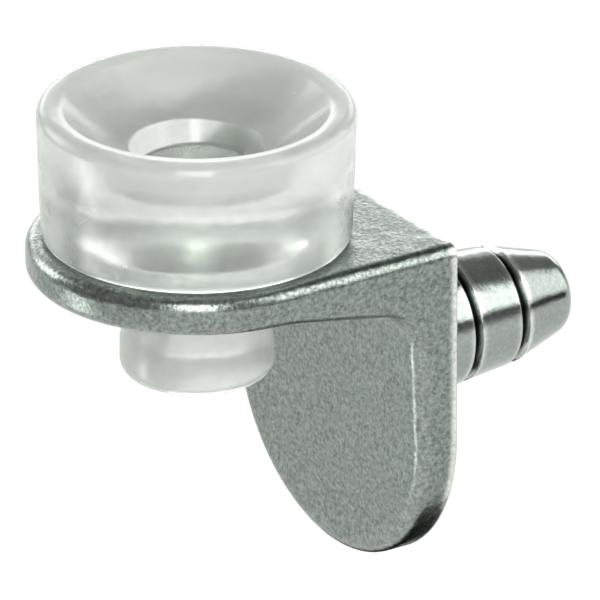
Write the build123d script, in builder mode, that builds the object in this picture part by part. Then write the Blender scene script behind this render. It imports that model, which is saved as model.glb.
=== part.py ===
from build123d import *
import os

# Shelf support pin: a cast bracket with a ringed pin for the side wall, and a clear suction cup that
# holds a glass shelf. The origin is on the pin's axis in the plane of the wall. +Y runs along the pin
# into the wall, -Y out under the shelf, +Z up. Lengths are in millimetres.

# Bracket, one casting
bracket_width = 12.6
plate_reach = 7.3  # from the wall to the centre of the plate's round end, which is the cup's axis
plate_height = 6.1  # top of the plate above the pin's axis
plate_thickness = 1.5  # at the round end
plate_root_thickness = 2.5  # where the sloping underside meets the flange
flange_drop = 7.95  # lowest point of the flange's half-round end below the pin's axis
flange_root_thickness = 1.9  # at the level of the plate's top
flange_tip_thickness = 1.3  # at the flange's lowest point
corner_round = 1.5  # in the inside corner, under the plate
underside_round = 9.0  # where the level part of the underside bends into its slope
edge_round = 0.5  # on the outer edges of the casting, but for those of its flat back
cup_hole_radius = 2.5

# Pin, part of the casting
pin_radius = 2.5
pin_length = 8.6
pin_ring_place = 3.6  # from the wall to the first groove
pin_ring_spacing = 2.25
pin_ring_width = 0.42
pin_ring_depth = 0.3  # below the start of the land on the tip's side of the groove
pin_middle_step = 0.06  # the second land starts this much lower than the first
pin_nose_step = 0.28  # the nose starts this much lower than the first land
pin_land_fall = 0.17  # the second land loses this much radius towards the tip
pin_end_radius = 1.45  # of the nose at the tip, before rounding
pin_tip_round = 0.8

# Suction cup, one soft moulding
cup_foot_radius = 5.72
cup_rim_radius = 5.9
cup_height = 5.15
cup_rim_round = 0.45
cup_rim_land = 0.4  # width of the level ring that meets the glass
dish_depth = 1.65
dish_sag = 0.22  # how far the dish is hollowed below a straight cone
well_radius = 2.5
well_floor_radius = 2.15
well_depth = 0.9
stem_clearance = 0.05  # all round, between the stem and the plate
stem_bulb_radius = 2.85
stem_bulb_height = 1.35  # of the bulb's straight side
stem_reach = 5.5  # from the plate's top to the bottom of the stem
stem_round = 0.6

overrun = 1.0  # past the far face, for cuts and trims

half_width = bracket_width / 2
bracket_reach = plate_reach + half_width
underside = plate_height - plate_thickness
flange_height = plate_height + flange_drop
shoulder = half_width - flange_drop


def flange_front(z):
    """Y of the flange's front face, which is drafted, at height z."""
    lowered_share = (plate_height - z) / flange_height
    return -flange_root_thickness - (flange_tip_thickness - flange_root_thickness) * lowered_share


def round_corner(sketch, corner, radius):
    """Rounds the sketch at the vertex nearest to the corner. Each rounding renews the vertices."""
    fillet(sketch.vertices().sort_by_distance(corner)[0], radius=radius)


inner_corner_height = plate_height - plate_root_thickness
inner_corner_place = flange_front(inner_corner_height)
inner_corner = (inner_corner_place, inner_corner_height)
underside_slope_share = (plate_root_thickness - plate_thickness) / (plate_reach + inner_corner_place)

first_groove = pin_ring_place
second_groove = pin_ring_place + pin_ring_spacing
groove_half = pin_ring_width / 2
middle_start_radius = pin_radius - pin_middle_step
nose_start_radius = pin_radius - pin_nose_step

stem_radius = cup_hole_radius - stem_clearance
stem_bottom = plate_height - stem_reach
stem_collar = underside - underside_slope_share * (cup_hole_radius + stem_clearance) - stem_clearance
rim_height = plate_height + cup_height
rim_inner_radius = cup_rim_radius - cup_rim_round - cup_rim_land
dish_floor = rim_height - dish_depth
dish_middle = ((rim_inner_radius + well_radius) / 2, (rim_height + dish_floor) / 2 - dish_sag)

# The bracket is the L of its side view, trimmed to the plate's plan and to the flange's outline.
with BuildPart() as bracket:
    with BuildSketch(Plane.YZ) as side_view:
        with BuildLine():
            Polyline(
                (0, plate_height),
                (-bracket_reach, plate_height),
                (-bracket_reach, underside),
                (-plate_reach, underside),
                inner_corner,
                (flange_front(-flange_drop), -flange_drop),
                (0, -flange_drop),
                close=True,
            )
        make_face()
        round_corner(side_view, inner_corner, corner_round)
        round_corner(side_view, (-plate_reach, underside), underside_round)
    extrude(amount=half_width, both=True)

    with BuildSketch(Plane.XY.offset(-flange_drop - overrun)):
        with BuildLine():
            Line((half_width, overrun), (half_width, -plate_reach))
            CenterArc((0, -plate_reach), half_width, 0, -180)
            Line((-half_width, -plate_reach), (-half_width, overrun))
            Line((-half_width, overrun), (half_width, overrun))
        make_face()
    extrude(amount=flange_height + 2 * overrun, mode=Mode.INTERSECT)

    with BuildSketch(Plane.XZ.offset(-overrun)):
        with BuildLine():
            Line((half_width, plate_height + overrun), (half_width, shoulder))
            CenterArc((0, shoulder), half_width, 0, -180)
            Line((-half_width, shoulder), (-half_width, plate_height + overrun))
            Line((-half_width, plate_height + overrun), (half_width, plate_height + overrun))
        make_face()
    extrude(amount=bracket_reach + 2 * overrun, mode=Mode.INTERSECT)

    back_edges = bracket.faces().sort_by(Axis.Y)[-1].edges()
    cross_lines = bracket.edges().filter_by(Axis.X)
    end_seams = bracket.edges().filter_by(Axis.Z).sort_by(Axis.Y)[:2]
    shoulder_seams = bracket.edges().filter_by(Axis.Y).sort_by(Axis.Z)[:2]
    fillet(bracket.edges() - back_edges - cross_lines - end_seams - shoulder_seams, radius=edge_round)

    with Locations((0, -plate_reach, plate_height)):
        Hole(radius=cup_hole_radius, depth=plate_root_thickness + overrun)

    # The pin is turned about +Y. Two grooves part it into three lands, the last of which is the nose.
    with BuildSketch(Plane.XY) as pin_profile:
        with BuildLine():
            Polyline(
                (0, -flange_tip_thickness),
                (pin_radius, -flange_tip_thickness),
                (pin_radius, first_groove - groove_half),
                (middle_start_radius - pin_ring_depth, first_groove),
                (middle_start_radius, first_groove + groove_half),
                (middle_start_radius - pin_land_fall, second_groove - groove_half),
                (nose_start_radius - pin_ring_depth, second_groove),
                (nose_start_radius, second_groove + groove_half),
                (pin_end_radius, pin_length),
                (0, pin_length),
                close=True,
            )
        make_face()
        round_corner(pin_profile, (pin_end_radius, pin_length), pin_tip_round)
    revolve(axis=Axis.Y)

# The cup is turned about its own axis, from the bottom of the stem up and round into the dish.
with BuildPart() as suction_cup:
    with BuildSketch(Plane.XZ.offset(plate_reach)) as cup_profile:
        with BuildLine():
            Polyline(
                (0, stem_bottom),
                (stem_bulb_radius, stem_bottom),
                (stem_bulb_radius, stem_bottom + stem_bulb_height),
                (stem_radius, stem_collar),
                (stem_radius, plate_height),
                (cup_foot_radius, plate_height),
                (cup_rim_radius, rim_height),
                (rim_inner_radius, rim_height),
            )
            ThreePointArc((rim_inner_radius, rim_height), dish_middle, (well_radius, dish_floor))
            Polyline(
                (well_radius, dish_floor),
                (well_floor_radius, dish_floor - well_depth),
                (0, dish_floor - well_depth),
                (0, stem_bottom),
            )
        make_face()
        round_corner(cup_profile, (stem_bulb_radius, stem_bottom), stem_round)
        round_corner(cup_profile, (cup_rim_radius, rim_height), cup_rim_round)
    revolve(axis=Axis((0, -plate_reach, 0), (0, 0, 1)))

os.makedirs("parts", exist_ok=True)
bracket.part.label = "bracket"
suction_cup.part.label = "suction_cup"
export_step(bracket.part, "parts/bracket.step")
export_step(suction_cup.part, "parts/suction_cup.step")
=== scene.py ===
import math

import bpy
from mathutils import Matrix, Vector


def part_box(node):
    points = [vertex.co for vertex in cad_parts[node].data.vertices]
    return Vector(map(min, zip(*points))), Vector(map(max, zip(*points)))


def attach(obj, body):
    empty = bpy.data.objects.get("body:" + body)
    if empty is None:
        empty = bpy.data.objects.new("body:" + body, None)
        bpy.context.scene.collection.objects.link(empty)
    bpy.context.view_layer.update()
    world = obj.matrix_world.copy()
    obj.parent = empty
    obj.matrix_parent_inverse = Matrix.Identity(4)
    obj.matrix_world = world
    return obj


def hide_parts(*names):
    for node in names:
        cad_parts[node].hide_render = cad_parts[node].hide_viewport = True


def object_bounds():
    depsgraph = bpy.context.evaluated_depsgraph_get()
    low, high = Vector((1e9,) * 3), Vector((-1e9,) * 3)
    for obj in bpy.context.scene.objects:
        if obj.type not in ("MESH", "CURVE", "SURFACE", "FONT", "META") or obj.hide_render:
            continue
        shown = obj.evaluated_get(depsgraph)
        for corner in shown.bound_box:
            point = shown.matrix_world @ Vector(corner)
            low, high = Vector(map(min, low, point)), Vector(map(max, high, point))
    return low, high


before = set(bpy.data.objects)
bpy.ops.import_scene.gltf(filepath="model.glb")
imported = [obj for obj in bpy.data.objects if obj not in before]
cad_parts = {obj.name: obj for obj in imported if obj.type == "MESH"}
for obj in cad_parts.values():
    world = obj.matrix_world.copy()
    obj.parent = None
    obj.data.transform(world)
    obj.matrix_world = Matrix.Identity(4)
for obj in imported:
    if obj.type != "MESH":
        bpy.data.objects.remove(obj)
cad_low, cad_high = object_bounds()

MM = 0.001  # the scene is in metres, and the lengths below are in millimetres

# Camera, far off behind a long lens
CAMERA_AZIMUTH = 56.5  # in degrees, as the elevation
CAMERA_ELEVATION = 23.8
CAMERA_DISTANCE = 800
CAMERA_AIM = (-1.77, -1.58, 1.36)
PICTURE_WIDTH = 22.19  # across the picture, at the aim
SENSOR_WIDTH = 36
NEAREST_SEEN = 100
FURTHEST_SEEN = 10000

# Bracket: its nickel plate
SKIN_GRAIN = 0.16  # of the cast skin, coarser than real so that it shows
SKIN_GRAIN_HEIGHT = 0.014
SKIN_SWELL = 0.9  # the slow waves in the cast skin
SKIN_SWELL_HEIGHT = 0.045
SOFT_EDGE = 0.1  # the rounding that the plating gives every sharp edge
WEAR_AND_SHADE_REACH = 0.4  # how far wear reaches from an edge, and painted shade from a groove's bottom
PIN_START = 0.1  # from the wall's plane to where the pin's own finish is full

# Suction cup, turned from one profile
CUP_FOOT_RADIUS = 5.72
CUP_RIM_RADIUS = 5.9
CUP_RIM_ROUND = 0.45
CUP_RIM_LAND = 0.4
DISH_DEPTH = 1.65
DISH_SAG = 0.22
WELL_RADIUS = 2.5
WELL_FLOOR_RADIUS = 2.15
WELL_DEPTH = 0.9
WELL_ROUND = 0.18
STEM_RADIUS = 2.45
STEM_COLLAR_DROP = 2.0  # from the plate's top to where the stem starts to swell
STEM_BULB_RADIUS = 2.85
STEM_BULB_HEIGHT = 1.35
STEM_ROUND = 0.6
FOOT_ROUND = 0.3
FOOT_PRESS = 0.02  # into the plate's face, so that no air shows under the soft foot
TURN_STEPS = 192  # facets round a full turn
ROUND_STEPS = 8  # facets across a rounded corner
DISH_STEPS = 14

# Suction cup: its soft PVC
PVC_RIPPLE = 1.6  # the slow waves and milky streaks
PVC_RIPPLE_HEIGHT = 0.06
PVC_HAZE = 0.25  # the fine bloom, coarser than real so that it shows
PVC_GLOW_REACH = 2.0  # how far light spreads in the milky part
PVC_IOR = 1.53
SCUFF_FULL_DROP = 1.05  # from the rim's top to where the scuffs from the glass start to fade
SCUFF_END_DROP = 2.25  # from the rim's top to where they end
STEM_BLOOM_START_DROP = 1.5  # from the plate's top to where the stem starts to turn milky
STEM_BLOOM_FULL_DROP = 3.5  # from the plate's top to where it is milkiest

# Studio. Directions are from the origin, on the pin's axis at the wall. A brightness of 1 is white.
# The comments name what each lamp lights up, and what each flag darkens.
FLOOR_DROP = 60  # below the lowest point of the part, so that its shadow falls outside the picture
FLOOR_SIDE = 6000
SKY_BRIGHTNESS = 0.295
SKY_BRIGHTNESS_THROUGH_PVC = 0.6
SOFTBOXES = [  # name, direction, distance, width, height, brightness
    ("right_back_softbox", (0.62, 0.5, 0.56), 700, 430, 540, 2.9),  # the white band along the pin
    ("left_wall", (-0.875, 0.235, 0.423), 900, 840, 600, 0.8),  # the plate's top
    ("left_back_strip", (-0.816, 0.551, 0.174), 700, 810, 210, 2.6),  # the cup, from behind
    ("left_front_softbox", (-0.84, -0.42, 0.3), 700, 300, 350, 4.2),  # the left of the plate's round end
    ("back_softbox", (0.2, 0.92, 0.24), 800, 480, 500, 2.0),  # the pin's nose
    ("camera_strip", (0.736, -0.487, 0.469), 700, 220, 620, 7.8),  # the front of the plate's round end
    ("front_low_card", (-0.43, -0.807, -0.407), 120, 28, 30, 4.4),  # the line on the flange's front edge
]
FLAGS = [  # name, direction, distance, width, height, colour
    ("overhead_flag", (-0.07, 0.48, 0.875), 600, 420, 190, "505252"),  # the dark band on top of the pin
    ("right_flag", (0.845, 0.505, 0.16), 600, 300, 62, "161818"),  # the dark line under its white band
    ("nose_flag", (0.4475, 0.894, -0.03), 600, 300, 120, "161818"),  # the same line on its nose
]
SHADE_CARD_PLACE = (-4, 6, -20)  # under the flange, a dark card that stands in for the shade under the part: painted shade that the lower edges of the flange and the plate mirror
SHADE_CARD_WIDTH = 26
SHADE_CARD_DEPTH = 11


def linear(hex_colour):
    """An sRGB colour such as "8a9a8e" as linear RGBA."""
    channels = [int(hex_colour[i:i + 2], 16) / 255 for i in (0, 2, 4)]
    return [c / 12.92 if c <= 0.04045 else ((c + 0.055) / 1.055) ** 2.4 for c in channels] + [1.0]


def add(tree, kind, links=None, inputs=None, **settings):
    """Adds a node of that kind, with its settings, its sockets' values and its incoming links."""
    made = tree.nodes.new(kind)
    for name, value in settings.items():
        setattr(made, name, value)
    for socket, value in (inputs or {}).items():
        made.inputs[socket].default_value = value
    for socket, source in (links or {}).items():
        tree.links.new(source, made.inputs[socket])
    return made


def new_material(name):
    """A material with only its output node, and its tree."""
    material = bpy.data.materials.new(name)
    material.use_nodes = True
    material.node_tree.nodes.clear()
    return material, material.node_tree, material.node_tree.nodes.new("ShaderNodeOutputMaterial")


def satin_nickel_plate():
    """Nickel plate on a zinc casting: a grey metal whose cast skin gives a fine satin grain, with edges
    rubbed bright. The pin is smoother, so that it mirrors the studio in bands, and its grooves and
    inner corners are darkened with painted shade."""
    material, tree, out = new_material("satin_nickel_plate")
    place = add(tree, "ShaderNodeTexCoord").outputs["Object"]
    depth = add(tree, "ShaderNodeSeparateXYZ", {"Vector": place}).outputs["Y"]
    pin = add(tree, "ShaderNodeMapRange", {"Value": depth},
              {"From Min": 0.0, "From Max": PIN_START * MM}).outputs["Result"]

    # The grain's specks, and the slow waves under them
    fine = add(tree, "ShaderNodeTexNoise", {"Vector": place},
               {"Scale": 1 / (SKIN_GRAIN * MM), "Detail": 4.0, "Roughness": 0.7}).outputs["Fac"]
    broad = add(tree, "ShaderNodeTexNoise", {"Vector": place},
                {"Scale": 1 / (SKIN_SWELL * MM), "Detail": 2.0}).outputs["Fac"]
    speck = add(tree, "ShaderNodeMapRange", {"Value": fine},
                {"From Min": 0.3, "From Max": 0.7}).outputs["Result"]
    cast_skin = add(tree, "ShaderNodeMixRGB", {"Fac": speck},
                    {"Color1": linear("535c56"), "Color2": linear("9ca69e")}).outputs["Color"]
    pin_skin = add(tree, "ShaderNodeMixRGB", {"Fac": speck},
                   {"Color1": linear("889089"), "Color2": linear("9ea6a0")}).outputs["Color"]
    skin = add(tree, "ShaderNodeMixRGB",
               {"Fac": pin, "Color1": cast_skin, "Color2": pin_skin}).outputs["Color"]

    # Edges rubbed bright in patches, and painted shade in the grooves and inner corners
    inside = add(tree, "ShaderNodeAmbientOcclusion", inputs={"Distance": WEAR_AND_SHADE_REACH * MM},
                 only_local=True, inside=True).outputs["AO"]
    rub = add(tree, "ShaderNodeMapRange", {"Value": inside},
              {"From Min": 0.72, "From Max": 0.95, "To Min": 1.0, "To Max": 0.0}).outputs["Result"]
    patchy = add(tree, "ShaderNodeMapRange", {"Value": speck},
                 {"To Min": 0.5, "To Max": 1.0}).outputs["Result"]
    worn = add(tree, "ShaderNodeMath", {0: rub, 1: patchy}, operation="MULTIPLY").outputs["Value"]
    rubbed = add(tree, "ShaderNodeMixRGB", {"Fac": worn, "Color1": skin},
                 {"Color2": linear("e6eae4")}).outputs["Color"]
    # Painted shade: ambient occlusion darkens the base colour towards 23292a in grooves and inner corners
    open_share = add(tree, "ShaderNodeAmbientOcclusion", inputs={"Distance": WEAR_AND_SHADE_REACH * MM},
                     only_local=True).outputs["AO"]
    unshaded_share = add(tree, "ShaderNodeMapRange", {"Value": open_share},
                {"From Min": 0.45, "From Max": 0.85}).outputs["Result"]
    colour = add(tree, "ShaderNodeMixRGB", {"Fac": unshaded_share, "Color2": rubbed},
                 {"Color1": linear("23292a")}).outputs["Color"]

    # Gloss and relief, both smoother on the pin
    satin = add(tree, "ShaderNodeMapRange", {"Value": fine},
                {"To Min": 0.15, "To Max": 0.3}).outputs["Result"]
    bright = add(tree, "ShaderNodeMapRange", {"Value": fine},
                 {"To Min": 0.1, "To Max": 0.2}).outputs["Result"]
    finish = add(tree, "ShaderNodeMix", {"Factor": pin, "A": satin, "B": bright}).outputs["Result"]
    relief = add(tree, "ShaderNodeMapRange", {"Value": pin},
                 {"To Min": 1.0, "To Max": 0.35}).outputs["Result"]
    soft_edge = add(tree, "ShaderNodeBevel", inputs={"Radius": SOFT_EDGE * MM}).outputs["Normal"]
    swells = add(tree, "ShaderNodeBump", {"Height": broad, "Normal": soft_edge, "Strength": relief},
                 {"Distance": SKIN_SWELL_HEIGHT * MM}).outputs["Normal"]
    grains = add(tree, "ShaderNodeBump", {"Height": fine, "Normal": swells, "Strength": relief},
                 {"Distance": SKIN_GRAIN_HEIGHT * MM}).outputs["Normal"]
    metal = add(tree, "ShaderNodeBsdfPrincipled",
                {"Base Color": colour, "Roughness": finish, "Normal": grains}, {"Metallic": 1.0})
    tree.links.new(metal.outputs["BSDF"], out.inputs["Surface"])
    return material


def clear_soft_pvc(rim_height, plate_top):
    """Soft clear moulded PVC: it bends light like glass, and its surface and a milky haze in it blur
    what shows through. The dish and rim are scuffed by the glass shelf, and the stem has a bloom."""
    material, tree, out = new_material("clear_soft_pvc")
    place = add(tree, "ShaderNodeTexCoord").outputs["Object"]
    height = add(tree, "ShaderNodeSeparateXYZ", {"Vector": place}).outputs["Z"]
    broad = add(tree, "ShaderNodeTexNoise", {"Vector": place},
                {"Scale": 1 / (PVC_RIPPLE * MM), "Detail": 2.0}).outputs["Fac"]
    fine = add(tree, "ShaderNodeTexNoise", {"Vector": place},
               {"Scale": 1 / (PVC_HAZE * MM), "Detail": 2.0}).outputs["Fac"]
    rough = add(tree, "ShaderNodeMapRange", {"Value": fine},
                {"To Min": 0.16, "To Max": 0.3}).outputs["Result"]
    waves = add(tree, "ShaderNodeBump", {"Height": broad},
                {"Strength": 1.0, "Distance": PVC_RIPPLE_HEIGHT * MM}).outputs["Normal"]
    clear = add(tree, "ShaderNodeBsdfPrincipled", {"Roughness": rough, "Normal": waves},
                {"Base Color": linear("f4f8f3"), "IOR": PVC_IOR, "Transmission Weight": 1.0})
    milk = add(tree, "ShaderNodeBsdfPrincipled", {"Roughness": rough, "Normal": waves},
               {"Base Color": linear("c5c9c4"), "IOR": PVC_IOR, "Subsurface Weight": 1.0,
                "Subsurface Radius": [PVC_GLOW_REACH] * 3, "Subsurface Scale": MM})

    # How milky it is: scuffs above, bloom on the stem below, and streaks all over
    scuffs = add(tree, "ShaderNodeMapRange", {"Value": height},
                 {"From Min": (rim_height - SCUFF_END_DROP) * MM,
                  "From Max": (rim_height - SCUFF_FULL_DROP) * MM,
                  "To Min": 0.0, "To Max": 0.5}).outputs["Result"]
    bloom = add(tree, "ShaderNodeMapRange", {"Value": height},
                {"From Min": (plate_top - STEM_BLOOM_FULL_DROP) * MM,
                 "From Max": (plate_top - STEM_BLOOM_START_DROP) * MM,
                 "To Min": 0.26, "To Max": 0.0}).outputs["Result"]
    streaks = add(tree, "ShaderNodeMapRange", {"Value": broad},
                  {"To Min": 0.1, "To Max": 0.3}).outputs["Result"]
    ends = add(tree, "ShaderNodeMath", {0: scuffs, 1: bloom}, operation="ADD").outputs["Value"]
    cloud = add(tree, "ShaderNodeMath", {0: ends, 1: streaks}, operation="ADD").outputs["Value"]
    plastic = add(tree, "ShaderNodeMixShader",
                  {"Fac": cloud, 1: clear.outputs["BSDF"], 2: milk.outputs["BSDF"]})

    # The lamps shine through it on to the plate
    shadow = add(tree, "ShaderNodeLightPath").outputs["Is Shadow Ray"]
    let_through = add(tree, "ShaderNodeBsdfTransparent", inputs={"Color": linear("dfe3df")})
    surface = add(tree, "ShaderNodeMixShader",
                  {"Fac": shadow, 1: plastic.outputs["Shader"], 2: let_through.outputs["BSDF"]})
    tree.links.new(surface.outputs["Shader"], out.inputs["Surface"])
    return material


def rounded(corners):
    """The outline through corners of (radius, height, rounding), with each rounding drawn as an arc."""
    outline = []
    for i, (r, z, rounding) in enumerate(corners):
        here = Vector((r, z))
        if not rounding:
            outline.append(here)
            continue
        before = (Vector(corners[i - 1][:2]) - here).normalized()
        after = (Vector(corners[i + 1][:2]) - here).normalized()
        half = before.angle(after) / 2
        centre = here + (before + after).normalized() * rounding / math.sin(half)
        start = here + before * rounding / math.tan(half) - centre
        end = here + after * rounding / math.tan(half) - centre
        for step in range(ROUND_STEPS + 1):
            outwards = start.normalized().slerp(end.normalized(), step / ROUND_STEPS)
            outline.append(centre + outwards * rounding)
    return outline


def turned(name, outline, axis):
    """A mesh turned from an outline of (radius, height) points about an upright axis at (x, y)."""
    points = []
    faces = []
    rings = []
    for r, z in outline:
        first = len(points)
        count = TURN_STEPS if r > 0 else 1
        for step in range(count):
            turn = math.tau * step / TURN_STEPS
            points.append((axis[0] + r * math.cos(turn), axis[1] + r * math.sin(turn), z))
        rings.append([first + step % count for step in range(TURN_STEPS + 1)])
    for ring, following in zip(rings, rings[1:]):
        for step in range(TURN_STEPS):
            corners = [ring[step], ring[step + 1], following[step + 1], following[step]]
            faces.append(list(dict.fromkeys(corners)))
    mesh = bpy.data.meshes.new(name)
    mesh.from_pydata([[MM * c for c in point] for point in points], [], faces)
    mesh.shade_smooth()
    piece = bpy.data.objects.new(name, mesh)
    bpy.context.scene.collection.objects.link(piece)
    return piece


def suction_cup():
    """The cup on the plate, its dish and well, and the stem below, one moulding."""
    low, high = [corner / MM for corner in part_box("suction_cup")]
    plate_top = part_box("bracket")[1].z / MM
    axis = ((low.x + high.x) / 2, (low.y + high.y) / 2)
    rim_inner_radius = CUP_RIM_RADIUS - CUP_RIM_ROUND - CUP_RIM_LAND
    dish_floor = high.z - DISH_DEPTH
    outline = rounded([
        (0, low.z, 0),
        (STEM_BULB_RADIUS, low.z, STEM_ROUND),
        (STEM_BULB_RADIUS, low.z + STEM_BULB_HEIGHT, 0),
        (STEM_RADIUS, plate_top - STEM_COLLAR_DROP, 0),
        (STEM_RADIUS, plate_top - FOOT_PRESS, 0),
        (CUP_FOOT_RADIUS, plate_top - FOOT_PRESS, FOOT_ROUND),
        (CUP_RIM_RADIUS, high.z, CUP_RIM_ROUND),
        (rim_inner_radius, high.z, 0),
    ])
    for step in range(1, DISH_STEPS):
        share = step / DISH_STEPS
        bow = 4 * DISH_SAG * share * (1 - share)
        radius = rim_inner_radius + (WELL_RADIUS - rim_inner_radius) * share
        outline.append(Vector((radius, high.z - DISH_DEPTH * share - bow)))
    outline += rounded([
        tuple(outline[-1]) + (0,),
        (WELL_RADIUS, dish_floor, WELL_ROUND),
        (WELL_FLOOR_RADIUS, dish_floor - WELL_DEPTH, WELL_ROUND),
        (0, dish_floor - WELL_DEPTH, 0),
    ])[1:]
    cup = turned("clear_suction_cup", outline, axis)
    cup.modifiers.new("flat_faces_flat", "WEIGHTED_NORMAL")
    cup.data.materials.append(clear_soft_pvc(high.z, plate_top))
    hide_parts("suction_cup")
    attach(cup, "root")


def put_facing(thing, towards, distance):
    """Stands a lamp or a flag off in that direction, facing the part and unseen by the camera."""
    direction = Vector(towards).normalized()
    thing.location = direction * distance * MM
    thing.rotation_mode = "QUATERNION"
    thing.rotation_quaternion = direction.to_track_quat("Z", "Y")
    thing.visible_camera = False


def softbox(name, towards, distance, width, height, brightness):
    """A soft rectangular lamp that has that brightness all over."""
    lamp = bpy.data.lights.new(name, "AREA")
    lamp.shape = "RECTANGLE"
    lamp.size = width * MM
    lamp.size_y = height * MM
    lamp.energy = brightness * math.pi * lamp.size * lamp.size_y
    box = bpy.data.objects.new(name, lamp)
    bpy.context.scene.collection.objects.link(box)
    put_facing(box, towards, distance)


def sheet(name, width, height, hex_colour):
    """A flat matt card for the studio, lying level at the origin."""
    material, tree, out = new_material(name + "_card")
    matt = add(tree, "ShaderNodeBsdfDiffuse", inputs={"Color": linear(hex_colour)})
    tree.links.new(matt.outputs["BSDF"], out.inputs["Surface"])
    across = width / 2 * MM
    along = height / 2 * MM
    corners = [(-across, -along, 0), (across, -along, 0), (across, along, 0), (-across, along, 0)]
    mesh = bpy.data.meshes.new(name)
    mesh.from_pydata(corners, [], [(0, 1, 2, 3)])
    mesh.materials.append(material)
    card = bpy.data.objects.new(name, mesh)
    bpy.context.scene.collection.objects.link(card)
    return card


def studio():
    """A pale floor, an even sky, soft lamps, black flags that the bright metal mirrors as dark bands, and a
    dark card under the part that stands in for its shade.
    """
    floor = sheet("floor", FLOOR_SIDE, FLOOR_SIDE, "ffffff")
    floor.location.z = cad_low.z - FLOOR_DROP * MM

    world = bpy.data.worlds.new("studio_sky")
    bpy.context.scene.world = world
    world.use_nodes = True
    sky = world.node_tree.nodes["Background"].inputs
    sky["Color"].default_value = linear("ffffff")
    seen_through = add(world.node_tree, "ShaderNodeLightPath").outputs["Is Transmission Ray"]
    level = add(world.node_tree, "ShaderNodeMapRange", {"Value": seen_through},
                {"To Min": SKY_BRIGHTNESS, "To Max": SKY_BRIGHTNESS_THROUGH_PVC}).outputs["Result"]
    world.node_tree.links.new(level, sky["Strength"])

    for name, towards, distance, width, height, brightness in SOFTBOXES:
        softbox(name, towards, distance, width, height, brightness)
    for name, towards, distance, width, height, hex_colour in FLAGS:
        put_facing(sheet(name, width, height, hex_colour), towards, distance)
    # Painted shade: a dark card, unseen by the camera, casting no shadow and unseen through the PVC, stands
    # in for the shade under the part, so that the lower edges of the flange and the plate mirror it dark
    under_part_shade = sheet("under_part_shade", SHADE_CARD_WIDTH, SHADE_CARD_DEPTH, "161818")
    under_part_shade.location = Vector(SHADE_CARD_PLACE) * MM
    under_part_shade.visible_camera = False
    under_part_shade.visible_shadow = False
    under_part_shade.visible_transmission = False


def camera():
    """The camera that sees the part as the photograph does."""
    lens = bpy.data.cameras.new("camera")
    lens.sensor_width = SENSOR_WIDTH
    lens.lens = SENSOR_WIDTH * CAMERA_DISTANCE / PICTURE_WIDTH
    lens.clip_start = NEAREST_SEEN * MM
    lens.clip_end = FURTHEST_SEEN * MM
    eye = bpy.data.objects.new("camera", lens)
    azimuth = math.radians(CAMERA_AZIMUTH)
    elevation = math.radians(CAMERA_ELEVATION)
    level_part = math.cos(elevation)
    back = Vector((math.sin(azimuth) * level_part, -math.cos(azimuth) * level_part, math.sin(elevation)))
    eye.location = (Vector(CAMERA_AIM) + back * CAMERA_DISTANCE) * MM
    eye.rotation_mode = "QUATERNION"
    eye.rotation_quaternion = back.to_track_quat("Z", "Y")
    bpy.context.scene.collection.objects.link(eye)
    bpy.context.scene.camera = eye


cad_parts["bracket"].data.materials[0] = satin_nickel_plate()
suction_cup()
studio()
camera()
bpy.context.scene.view_settings.view_transform = "Standard"
